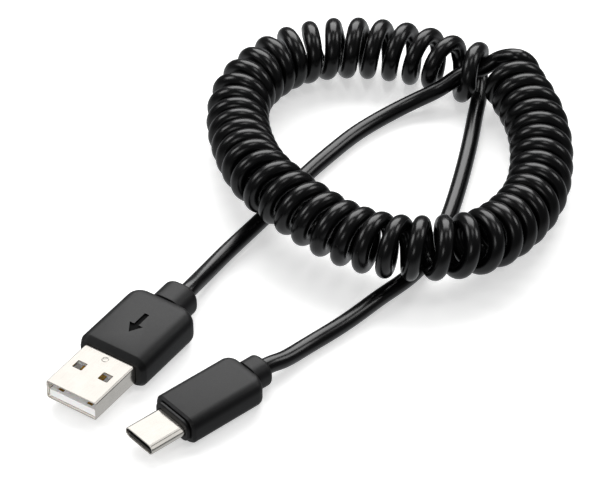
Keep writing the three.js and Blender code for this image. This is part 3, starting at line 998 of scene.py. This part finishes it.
@dataclass(frozen=True)
class Plug:
    """Sizes and pieces that both plugs have. x runs from the mouth to the cord.

    Attributes:
        prefix: Start of the names of its nodes and pieces.
        place: Where its mouth's middle is.
        heading: Turn of its axis in degrees.
        shell: Width, height, length, wall and corner of the metal shell.
        body_front: Where the grip begins.
        body_back: Where the grip ends.
        body: Width, height and edge radius of the grip.
        rear_corner: Radius of the grip's rear corners.
        front_bevel: Slope at the grip's front: its length, and its fall in width and height.
        inner_front: Where the inner moulding begins.
        inner_back: Where it ends.
        inner: Width, height and wall of the inner moulding.
        jacket_end: Where the cord's jacket is cut.
        neck_end: Where the strain relief ends.
        neck: Width and height of the strain relief.
        root_radius: Radius of its root inside the grip.
        clamp_wall: Thickness of the crimped band.
        wires: Colour, end place and side of each wire: x, y, z, and above or below at the cord.
        fit_gap: Room between two pieces, one inside the other.
        wire_radius: Radius of a wire's insulation.
    """

    prefix: str
    place: Sizes
    heading: float
    shell: Sizes
    body_front: float
    body_back: float
    body: Sizes
    rear_corner: float
    front_bevel: Sizes
    inner_front: float
    inner_back: float
    inner: Sizes
    jacket_end: float
    neck_end: float
    neck: Sizes
    root_radius: float
    clamp_wall: float
    wires: tuple[Wire, ...]
    fit_gap: float = 0.1 * MM
    wire_radius: float = 0.42 * MM

    def to_frame(self, points: np.ndarray) -> np.ndarray:
        """Turns points from the plug's own axes to the frame's: a turn about Z, then a shift."""
        angle = math.radians(self.heading)
        along = [math.cos(angle), math.sin(angle), 0]
        across = [-math.sin(angle), math.cos(angle), 0]
        return points @ np.array([along, across, [0, 0, 1]]) + np.array(self.place)

    def placed(self, surface: Surface) -> Surface:
        """The same surface in the frame's axes."""
        return replace(surface, points=self.to_frame(surface.points))

    def on_axis(self, x: float) -> np.ndarray:
        """The point at x on the plug's own axis, in the frame's axes."""
        return self.to_frame(np.array([[x, 0.0, 0.0]]))[0]

    @property
    def bore(self) -> float:
        """Width of a hole that the cord goes through."""
        return 2 * (CORD_RADIUS + self.fit_gap)

    def grip_rows(self) -> list[Row]:
        """Sections of the grip's outside, from its front edge to its rear face.

        The front slopes up over the bevel, with a small round at each end of the slope. The
        rear closes by a quarter ellipse, which falls less in height than in width.

        Returns:
            Place, width, height and corner radius of each section.
        """
        width, height, edge = self.body
        run, fall_y, fall_z = self.front_bevel
        slope = ((0.0, 1.16), (0.02, 1.06), (0.1, 0.98), (0.86, 0.16), (0.98, 0.05), (1.12, 0.0))
        least_corner = 0.5 * MM
        rows = [(self.body_front + run * along, width - 2 * fall_y * share, height - 2 * fall_z * share,
                 max(edge - fall_z * share, least_corner)) for along, share in slope]
        rear = self.rear_corner
        flat = 0.3 * rear
        rows.append((self.body_back - 1.25 * rear, width, height, edge))
        return rows + rounded_end(self.body_back, self.body, rear, flat, flat)

    def cavity_rows(self) -> list[Row]:
        """Sections of the grip's inside, from its rear face back to its front."""
        gap = self.fit_gap
        root = 2 * (self.root_radius + gap)
        shell_width, shell_height, _, _, shell_corner = self.shell
        inner_width, inner_height, _ = self.inner
        inner_corner = 1.1 * MM
        shell_gap = (shell_width + 2 * gap, shell_height + 2 * gap, shell_corner + gap / 2)
        inner_gap = (inner_width + 2 * gap, inner_height + 2 * gap, inner_corner)
        return [disc(self.body_back, root), disc(self.inner_back + gap, root),
                (self.inner_back + gap, *inner_gap), (self.inner_front - gap, *inner_gap),
                (self.inner_front - gap, *shell_gap), (self.body_front, *shell_gap)]

    def grip(self) -> Piece:
        """The outer moulding that the hand holds."""
        surface = self.placed(sleeve(self.grip_rows() + self.cavity_rows(), 8))
        return make_piece(f"{self.prefix}_grip", surface, MOULDED_BLACK)

    def collar(self) -> Piece:
        """The strain relief: a root inside the grip and a rounded collar round the cord."""
        root = 2 * self.root_radius
        root_start = self.inner_back + 0.3 * MM
        seat = self.body_back + 0.02 * MM
        width, height = self.neck
        corner = 0.42 * height
        ease, slope, lip = mm(0.3, 0.12, 0.05)
        nose = 1.1 * MM
        rows = [disc(root_start, self.bore), disc(root_start, root), disc(seat, root),
                (seat, width - ease, height - ease, corner), (seat + slope, width, height, corner),
                *rounded_end(self.neck_end, (width, height, corner), nose, nose, 0.5 * nose),
                disc(self.neck_end - lip, self.bore + ease), disc(self.neck_end - ease, self.bore)]
        piece = make_piece(f"{self.prefix}_collar", self.placed(sleeve(rows, 8)), MOULDED_BLACK)
        return settle(piece, MOULDED_BLACK, f"{self.prefix}_strain_relief")

    def inner_shot(self) -> Piece:
        """The first moulding: a cup open to the shell, with a hole for the cord."""
        width, height, wall = self.inner
        front, back = self.inner_front, self.inner_back
        floor = back - 0.6 * MM
        outside = (width, height, 1.0 * MM)
        front_edge = (width - 0.2 * MM, height - 0.2 * MM, 0.9 * MM)
        back_edge = (width - 0.5 * MM, height - 0.5 * MM, 0.8 * MM)
        hollow = (width - 2 * wall, height - 2 * wall, 0.6 * MM)
        rows = [(front, *front_edge), (front + 0.1 * MM, *outside),
                (back - 0.3 * MM, *outside), (back, *back_edge),
                disc(back, self.bore), disc(floor, self.bore), (floor, *hollow), (front, *hollow)]
        piece = make_piece(f"{self.prefix}_inner_shot", self.placed(sleeve(rows)), INNER_SHOT)
        return settle(piece, INNER_SHOT, f"{self.prefix}_inner_mould")

    def band(self, steel: Finish) -> Piece:
        """The crimped band round the jacket, with a shallow crimp in its middle.

        The crimp's rows are a share of the band's length, and what the width loses there in
        millimetres.

        Args:
            steel: Its finish.

        Returns:
            The band.
        """
        outside = self.bore + 2 * self.clamp_wall
        front = self.jacket_end + 0.4 * MM
        length = 2 * MM
        crimp = ((0.0, 0.12), (0.06, 0.0), (0.3, 0.0), (0.5, 0.1), (0.7, 0.0), (0.94, 0.0), (1.0, 0.12))
        rows = [disc(front, self.bore),
                *(disc(front + length * along, outside - dip * MM) for along, dip in crimp),
                disc(front + length, self.bore)]
        piece = make_piece(f"{self.prefix}_band", self.placed(sleeve(rows, 8)), steel)
        return settle(piece, steel, f"{self.prefix}_cable_clamp")

    def wire(self, colour: str, end_x: float, end_y: float, end_z: float, above: int) -> Piece:
        """One insulated wire from the cut jacket to its solder point.

        Args:
            colour: The wire's colour.
            end_x: Place of its solder point along the plug.
            end_y: Place of its solder point across the plug.
            end_z: Height of its solder point.
            above: One if it leaves the jacket in the upper half, minus one in the lower.

        Returns:
            The wire.
        """
        side = math.copysign(1.0, end_y)
        offset, spread = mm(0.52, 0.1)
        straight_out, straight_in = mm(1.2, 0.9)
        start = self.jacket_end - self.fit_gap
        knots = np.array([
            [start, side * offset, above * offset],
            [start - straight_out, side * (offset + spread), above * offset],
            [(start + end_x) / 2, (end_y + side * offset) / 2, (above * offset + end_z) / 2],
            [end_x + straight_in, end_y, end_z], [end_x, end_y, end_z]])
        path = natural_spline(knots, 0.15 * MM)
        surface = tube(path, path - np.array([0, 0, MM]), self.wire_radius, sides=14)
        finish = WIRE_FINISHES[colour]
        piece = make_piece(f"{self.prefix}_core_{colour}", self.placed(surface), finish)
        return settle(piece, finish, f"{self.prefix}_wire_{colour}")

    def shell_rows(self) -> list[Row]:
        """Sections of the shell's wall: out along the outside and back along the inside.

        The mouth's edge is rounded outside and chamfered inside, as a drawn and trimmed tube is.

        Returns:
            Place, width, height and corner radius of each section.
        """
        width, height, length, wall, corner = self.shell
        lip = 0.35 * wall
        inside = corner - 0.7 * wall
        return [
            (0.0, width - 2 * lip, height - 2 * lip, corner - lip),
            (0.3 * lip, width - 0.6 * lip, height - 0.6 * lip, corner - 0.3 * lip),
            (lip, width, height, corner), (3 * lip, width, height, corner),
            (length - lip, width, height, corner), (length, width, height, corner),
            (length, width - 2 * wall, height - 2 * wall, inside),
            (1.6 * lip, width - 2 * wall, height - 2 * wall, inside),
            (0.2 * lip, width - 2 * wall + lip, height - 2 * wall + lip, inside + 0.5 * lip),
        ]

    def shared_pieces(self, steel: Finish) -> list[Piece]:
        """Builds the collar, the inner shot, the band and the wires.

        Args:
            steel: The finish of the band.

        Returns:
            The pieces.
        """
        pieces = [self.collar(), self.inner_shot(), self.band(steel)]
        pieces += [self.wire(*wire) for wire in self.wires]
        return pieces


@dataclass(frozen=True)
class UsbAPlug(Plug):
    """The USB-A plug.

    Attributes:
        window: Length, width, place along and place across of the spring windows.
        dimple: Place along, radius and depth of the stamped lock dimple.
        seam: Width and height of the groove that the folded shell's seam leaves.
        arrow: Length, width and depth of the plain arrow sunk in the grip.
        contacts: The names of its contacts.
    """

    prefix: str = "usb_a"
    place: Sizes = mm(-48.34, -50.83, 3.8)
    heading: float = 55.84
    shell: Sizes = mm(12, 4.5, 18, 0.3, 0.5)
    body_front: float = 12.8 * MM
    body_back: float = 31.3 * MM
    body: Sizes = mm(15.9, 7.6, 2.6)
    rear_corner: float = 2.4 * MM
    front_bevel: Sizes = mm(1.15, 0.6, 1.05)
    inner_front: float = 18.3 * MM
    inner_back: float = 28.2 * MM
    inner: Sizes = mm(13.2, 5.8, 0.5)
    jacket_end: float = 24.6 * MM
    neck_end: float = 37.2 * MM
    neck: Sizes = mm(7.9, 7.2)
    root_radius: float = 3.0 * MM
    clamp_wall: float = 0.4 * MM
    wires: tuple[Wire, ...] = (
        ("red", *mm(19.5, 3.5, -0.07), 1), ("white", *mm(19.5, 1.0, -0.07), -1),
        ("green", *mm(19.5, -1.0, -0.07), -1), ("black", *mm(19.5, -3.5, -0.07), 1))
    window: Sizes = mm(2.2, 2.3, 7.1, 3.1)
    dimple: Sizes = mm(11.2, 0.75, 0.26)
    seam: Sizes = mm(0.1, 0.3)
    arrow: Sizes = mm(6.2, 3.2, 0.35)
    contacts: tuple[str, ...] = ("vbus", "data_minus", "data_plus", "ground")

    def arrow_cutter(self) -> Surface:
        """A plain arrow that points to the mouth: a head and a shaft, as one flat prism."""
        length, width, depth = self.arrow
        middle = (self.body_front + self.body_back) / 2
        tip, neck, tail = middle - length / 2, middle - 0.08 * length, middle + length / 2
        half, shaft = width / 2, 0.17 * width
        outline = np.array([[tip, 0], [neck, half], [neck, shaft], [tail, shaft],
                            [tail, -shaft], [neck, -shaft], [neck, -half]])
        top = self.body[1] / 2
        levels = (top - depth, top + MM)
        rings = [np.column_stack([outline, np.full(len(outline), z)]) for z in levels]
        return lofted(np.stack(rings), False)

    def window_cutters(self) -> list[Surface]:
        """Two round-cornered bars that go through top and bottom."""
        length, width, along, aside = self.window
        reach = self.shell[1]
        post = bar([(z, length, width, 0.2 * MM) for z in (-reach, reach)], 3).standing()
        return [post.moved([along, side * aside, 0]) for side in (-1, 1)]

    def dimple_cutter(self) -> Surface:
        """A round bowl: its floor rises from the middle by an ellipse, almost up to the face."""
        along, radius, depth = self.dimple
        top = self.shell[1] / 2
        roundness = 0.96
        share = np.linspace(0.05, 1.0, 7)
        floor = top - depth * np.sqrt(1 - roundness * share ** 2)
        rows = [disc(z, 2 * radius * part) for z, part in zip(floor, share)]
        return bar([*rows, disc(top + MM, 2 * radius)]).standing().moved([along, 0, 0])

    def seam_cutter(self) -> Surface:
        """A shallow groove all along the underside, where the fold's edges meet."""
        _, height, length, _, _ = self.shell
        skin = 0.02 * MM
        groove = bar([(x, *self.seam, skin) for x in (-MM, length + MM)], 1)
        return groove.moved([0, 0, -(height / 2 + skin)])

    def shade_arrow_recess(self, grip: Piece) -> None:
        """Gives the arrow's sunk floor and walls the coarser finish, whose darker black is painted shade
        in the recess.

        Args:
            grip: The grip, with the arrow cut.
        """
        grip.data.materials.append(ARROW_RECESS_SHADE.material())
        length, _, depth = self.arrow
        faces = grip.data.polygons
        centres = np.array([face.center for face in faces])
        middle = self.on_axis((self.body_front + self.body_back) / 2)
        below = self.place[2] + self.body[1] / 2 - centres[:, 2]
        near = np.hypot(*(centres - middle)[:, :2].T) < 0.6 * length
        # the recess's faces, which take the painted shade
        sunk = near & (below > 0.01 * MM) & (below < depth + 0.05 * MM)
        faces.foreach_set("material_index", sunk.astype(np.int32))

    def build(self) -> None:
        """Makes every piece of the plug."""
        steel = NickelPlate("nickel_plate_a", Slot.PLATED_STEEL, "#E8E3DC", 0.2, heading=self.heading)
        gold = GoldFlash("gold_flash_a", Slot.GOLD_CONTACT, "#D9B25F", 0.26, heading=self.heading)
        shell = make_piece("usb_a_folded_shell", self.placed(sleeve(self.shell_rows(), 5)), steel)
        cutters = [*self.window_cutters(), self.dimple_cutter(), self.seam_cutter()]
        settle(carve(shell, [self.placed(cutter) for cutter in cutters]), steel, "usb_a_shell")
        grip = carve(self.grip(), [self.placed(self.arrow_cutter())])
        self.shade_arrow_recess(grip)
        settle(grip, MOULDED_BLACK, "usb_a_overmould")
        eased_copy("usb_a_insulator", "usb_a_tongue", WHITE_TONGUE, 0.05 * MM)
        for name in self.contacts:
            eased_copy(f"usb_a_contact_{name}", f"usb_a_blade_{name}", gold, 0.05 * MM)
        self.shared_pieces(steel)
        log.info("USB-A plug done")


@dataclass(frozen=True)
class UsbCPlug(Plug):
    """The USB-C plug.

    Attributes:
        nose: Place, width, height and corner of the step in front of the grip.
        rim: Radius of the step's front edge.
        groove: Depth of the groove between the step and the grip.
        pins: The contacts that a charge and USB 2.0 plug has.
    """

    prefix: str = "usb_c"
    place: Sizes = mm(-34.85, -61.49, 3.15)
    heading: float = 40.95
    shell: Sizes = mm(8.25, 2.4, 9.3, 0.25, 1.199)
    body_front: float = 8.9 * MM
    body_back: float = 27.2 * MM
    body: Sizes = mm(11.8, 6.3, 2.2)
    rear_corner: float = 2.0 * MM
    front_bevel: Sizes = mm(0.5, 0.4, 0.35)
    inner_front: float = 9.6 * MM
    inner_back: float = 24.6 * MM
    inner: Sizes = mm(10.0, 4.9, 0.3)
    jacket_end: float = 19.6 * MM
    neck_end: float = 31.4 * MM
    neck: Sizes = mm(6.5, 6.0)
    root_radius: float = 2.6 * MM
    clamp_wall: float = 0.2 * MM
    wires: tuple[Wire, ...] = (
        ("red", *mm(13.4, 2.9, 0.78), 1), ("white", *mm(13.4, 1.0, -0.78), -1),
        ("green", *mm(13.4, -1.0, -0.78), -1), ("black", *mm(13.4, -2.9, 0.78), 1))
    nose: Sizes = mm(8.1, 9.8, 5.0, 1.9)
    rim: float = 0.3 * MM
    groove: float = 0.22 * MM
    pins: tuple[str, ...] = ("a1", "a4", "a5", "a6", "a7", "a9", "a12", "b1", "b4", "b9", "b12")

    def grip_rows(self) -> list[Row]:
        """Sections of the outside: the rounded nose step, the groove behind it, then the grip."""
        front, width, height, corner = self.nose
        rim = self.rim
        quarter = [(1 - math.cos(t), 1 - math.sin(t)) for t in np.linspace(0, math.pi / 2, 5)]
        rows = [(front + rim * along, width - 2 * rim * lost, height - 2 * rim * lost,
                 corner - rim * lost) for along, lost in quarter]
        sunk = (width - 2 * self.groove, height - 2 * self.groove, corner)
        rows += [(self.body_front - 0.25 * MM, width, height, corner),
                 (self.body_front - 0.2 * MM, *sunk), (self.body_front, *sunk)]
        return rows + super().grip_rows()

    def cavity_rows(self) -> list[Row]:
        """Sections of the inside, which opens at the nose's front."""
        rows = super().cavity_rows()
        return rows[:-1] + [(self.nose[0], *rows[-1][1:])]

    def build(self) -> list[Piece]:
        """Makes every piece of the plug.

        Returns:
            The pieces that travel on the end of the cord. The springs ride on bodies of their own.
        """
        steel = NickelPlate("nickel_plate_c", Slot.PLATED_STEEL, "#E9E5DE", 0.17, heading=self.heading)
        gold = GoldFlash("gold_flash_c", Slot.GOLD_CONTACT, "#D9B25F", 0.26, heading=self.heading)
        shell = make_piece("usb_c_drawn_shell", self.placed(sleeve(self.shell_rows(), 10)), steel)
        pieces = [settle(shell, steel, "usb_c_shell"),
                  settle(self.grip(), MOULDED_BLACK, "usb_c_overmould"),
                  eased_copy("usb_c_insulator", "usb_c_tongue", BLACK_TONGUE, 0.03 * MM)]
        for pin in self.pins:
            pieces.append(eased_copy(f"usb_c_contact_{pin}", f"usb_c_blade_{pin}", gold, 0.02 * MM))
        for side, body in (("left", Body.LATCH_LEFT), ("right", Body.LATCH_RIGHT)):
            eased_copy(f"usb_c_latch_{side}", f"usb_c_spring_{side}", steel, 0.03 * MM, body)
        pieces += [eased_copy("usb_c_ground_plate", "usb_c_mid_plate", steel, 0.02 * MM),
                   eased_copy("usb_c_circuit_board", "usb_c_board", GREEN_BOARD, 0.03 * MM),
                   eased_copy("usb_c_resistor", "usb_c_chip", CHIP_PRINT, 0.04 * MM)]
        pieces += self.shared_pieces(steel)
        log.info("USB-C plug done")
        return pieces


# ---------------------------------------------------------------- cord


@dataclass(frozen=True)
class CoiledCord:
    """The cord, from the cut jacket in one plug to the cut jacket in the other.

    Attributes:
        mean_radius: From the coil's axis to the cord's centre.
        axis: The coil's axis in millimetres, from the USB-A end round to the USB-C end.
        pitch: Share of the axis, and the turns' spacing there in millimetres.
        first_angle: Where round the axis the first turn begins, in degrees.
        open_turns: Angle in degrees, middle in millimetres, and heading in degrees of the
            open turns.
        open_height: Height of their middle.
        lead_a: Route in millimetres from the USB-A plug to the first turn.
        lead_c: Route in millimetres from the last turn to the USB-C plug.
        per_turn: How many knots each closed turn has.
        open_steps: How many knots there are from one row of open_turns to the next.
        step: Distance between the tube's rings.
        sides: How many points each ring has.
    """

    mean_radius: float = 4.95 * MM
    axis: tuple[Sizes, ...] = (
        (41.2, 48.2, 6.75), (42.4, 44.0, 6.75), (45.0, 36.1, 6.75), (46.6, 25.9, 6.75),
        (46.2, 15.9, 6.75), (44.1, 6.7, 6.9), (38.8, -2.8, 7.7), (31.7, -10.1, 9.2),
        (24.1, -13.0, 10.3), (16.1, -12.8, 10.2), (8.1, -9.5, 9.6), (1.1, -5.0, 9.9),
        (-6.0, 1.6, 10.5), (-11.8, 9.2, 10.4), (-15.5, 20.3, 8.6), (-17.2, 33.0, 6.95),
        (-15.8, 42.3, 6.75), (-11.6, 49.3, 6.75), (-6.2, 54.4, 6.75), (0.4, 57.1, 6.75),
        (7.0, 57.9, 6.75), (14.5, 57.1, 6.75), (20.8, 55.4, 6.75), (25.2, 53.5, 6.75))
    pitch: tuple[Sizes, ...] = (
        (0.0, 4.6), (0.06, 4.4), (0.28, 4.4), (0.33, 4.75), (0.38, 4.75), (0.43, 4.4),
        (0.58, 4.4), (0.66, 4.6), (0.76, 4.6), (0.86, 4.8), (1.0, 5.2))
    first_angle: float = 72.0
    open_turns: tuple[Sizes, ...] = (
        (-90, 25.2, 53.5, -24), (-180, 26.4, 52.8, -30), (-270, 27.5, 52.0, -33),
        (-360, 28.1, 51.6, -30), (-450, 30.8, 49.6, -24), (-540, 33.8, 48.6, -20),
        (-630, 33.4, 49.0, -20), (-700, 34.2, 49.4, -14))
    open_height: float = 6.75 * MM
    lead_a: tuple[Sizes, ...] = (
        (-25.0, -15.5, 3.1), (-22.2, -9.9, 2.1), (-18.9, -4.4, 1.8), (-12.0, 5.7, 1.8),
        (-7.2, 13.2, 1.8), (-2.6, 20.6, 1.8), (3.0, 28.2, 1.8), (8.2, 34.5, 1.8),
        (13.5, 39.3, 2.0), (17.7, 42.2, 2.5), (21.8, 44.0, 3.6), (25.6, 45.2, 5.0),
        (28.4, 47.1, 5.8), (30.8, 48.6, 6.5), (33.6, 49.4, 6.8), (36.6, 50.1, 8.0),
        (39.4, 50.3, 9.8))
    lead_c: tuple[Sizes, ...] = (
        (35.1, 53.1, 4.2), (35.2, 51.4, 2.4), (35.0, 48.8, 1.8), (34.5, 45.2, 1.8),
        (33.7, 40.6, 1.8), (32.3, 31.9, 1.8), (30.0, 20.0, 1.8), (27.6, 9.6, 1.8),
        (25.2, 1.4, 1.8), (22.2, -6.0, 1.8), (18.5, -11.8, 1.8), (14.9, -15.7, 1.8),
        (11.8, -18.8, 1.8), (7.1, -23.9, 1.8), (2.3, -28.6, 1.8), (-3.2, -33.6, 1.9),
        (-7.4, -37.9, 2.6))
    per_turn: int = 24
    open_steps: int = 6
    step: float = 0.45 * MM
    sides: int = 20

    def helix(self) -> np.ndarray:
        """Knots of the closed coil.

        The turns grow along the axis by one over the pitch, and are scaled to end at the foot,
        where the open turns begin. The cord's centre is the axis point plus the mean radius
        times the cosine of the angle outwards and the sine of it upwards; the angle falls by a
        whole turn for each turn, which winds the coil left-handed.

        Returns:
            One row for each knot: its centre, then the axis point beside it.
        """
        line = natural_spline(np.array(self.axis) * MM, 0.25 * MM)
        ahead = np.gradient(line, axis=0)
        ahead /= np.linalg.norm(ahead, axis=1)[:, None]
        outward = np.column_stack([-ahead[:, 1], ahead[:, 0], np.zeros(len(line))])
        outward /= np.linalg.norm(outward, axis=1)[:, None]
        upward = np.cross(ahead, outward)
        run = path_length(line)
        share, spacing = np.array(self.pitch).T
        rate = 1 / np.interp(run / run[-1], share, spacing * MM)
        turns = np.concatenate([[0.0], np.cumsum((rate[1:] + rate[:-1]) / 2 * np.diff(run))])
        fraction = (self.first_angle - self.open_turns[0][0]) / 360
        turns *= (round(turns[-1] - fraction) + fraction) / turns[-1]
        even = np.linspace(0, turns[-1], int(round(turns[-1] * self.per_turn)) + 1)
        angle = np.radians(self.first_angle - 360 * even)[:, None]
        middle, out, up = (np.column_stack([np.interp(even, turns, column) for column in part.T])
                           for part in (line, outward, upward))
        centre = middle + self.mean_radius * (np.cos(angle) * out + np.sin(angle) * up)
        log.info("coil: %.1f turns on an axis of %.1f mm", turns[-1], run[-1] / MM)
        return np.column_stack([centre, middle])

    def opened(self) -> np.ndarray:
        """Knots of the open turns, with angle, middle and heading changing evenly between rows.

        Returns:
            One row for each knot between the first row and the last: its centre, then the
            turn's middle beside it.
        """
        rows = np.array(self.open_turns, float)
        count = (len(rows) - 1) * self.open_steps
        at = np.arange(1, count) / self.open_steps
        angle, x, y, heading = (np.interp(at, np.arange(len(rows)), column) for column in rows.T)
        angle, heading = np.radians(angle)[:, None], np.radians(heading)
        middle = np.column_stack([x * MM, y * MM, np.full(len(at), self.open_height)])
        across = np.column_stack([-np.sin(heading), np.cos(heading), np.zeros(len(at))])
        upward = np.array([0, 0, 1.0])
        centre = middle + self.mean_radius * (np.cos(angle) * across + np.sin(angle) * upward)
        return np.column_stack([centre, middle])

    def route(self, plug_a: UsbAPlug, plug_c: UsbCPlug) -> np.ndarray:
        """The whole centre line in even steps.

        Args:
            plug_a: The plug where the cord begins.
            plug_c: The plug where it ends.

        Returns:
            One row for each step: the centre, then a point beside it that steadies the rings.
        """
        straight = 1.5 * MM
        root = 3 * MM
        out_a, out_c = ([plug.on_axis(x) for x in (plug.jacket_end, plug.neck_end - root,
                                                   plug.neck_end + straight)]
                        for plug in (plug_a, plug_c))
        first = np.vstack([out_a, np.array(self.lead_a) * MM])
        last = np.vstack([np.array(self.lead_c) * MM, out_c[::-1]])
        lift = np.array([0, 0, self.mean_radius])
        knots = np.vstack([np.column_stack([first, first - lift]), self.helix(), self.opened(),
                           np.column_stack([last, last + lift])])
        return natural_spline(knots, self.step)

    def build(self, plug_a: UsbAPlug, plug_c: UsbCPlug) -> tuple[Piece, np.ndarray]:
        """Makes the cord.

        Args:
            plug_a: The plug where the cord begins.
            plug_c: The plug where it ends.

        Returns:
            The cord and its centre line.
        """
        route = self.route(plug_a, plug_c)
        surface = tube(route[:, :3], route[:, 3:], CORD_RADIUS, self.sides)
        cord = make_piece("coiled_cord", surface, CORD_JACKET, smooth_to=80.0)
        settle(cord, CORD_JACKET, "lead_usb_a", "coil_body", "lead_usb_c")
        return cord, route[:, :3]


# ---------------------------------------------------------------- the whole cable


def main() -> None:
    logging.basicConfig(level=logging.INFO, format="%(message)s")
    studio = Studio()
    studio.camera()
    plug_a, plug_c = UsbAPlug(), UsbCPlug()
    cord, line = CoiledCord().build(plug_a, plug_c)
    plug_a.build()
    far_pieces = plug_c.build()
    tuple(plug_a.on_axis(plug_a.neck_end))
    studio.build([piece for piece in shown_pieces() if piece.name in BRIGHT_PIECES])


if __name__ == "__main__":
    main()
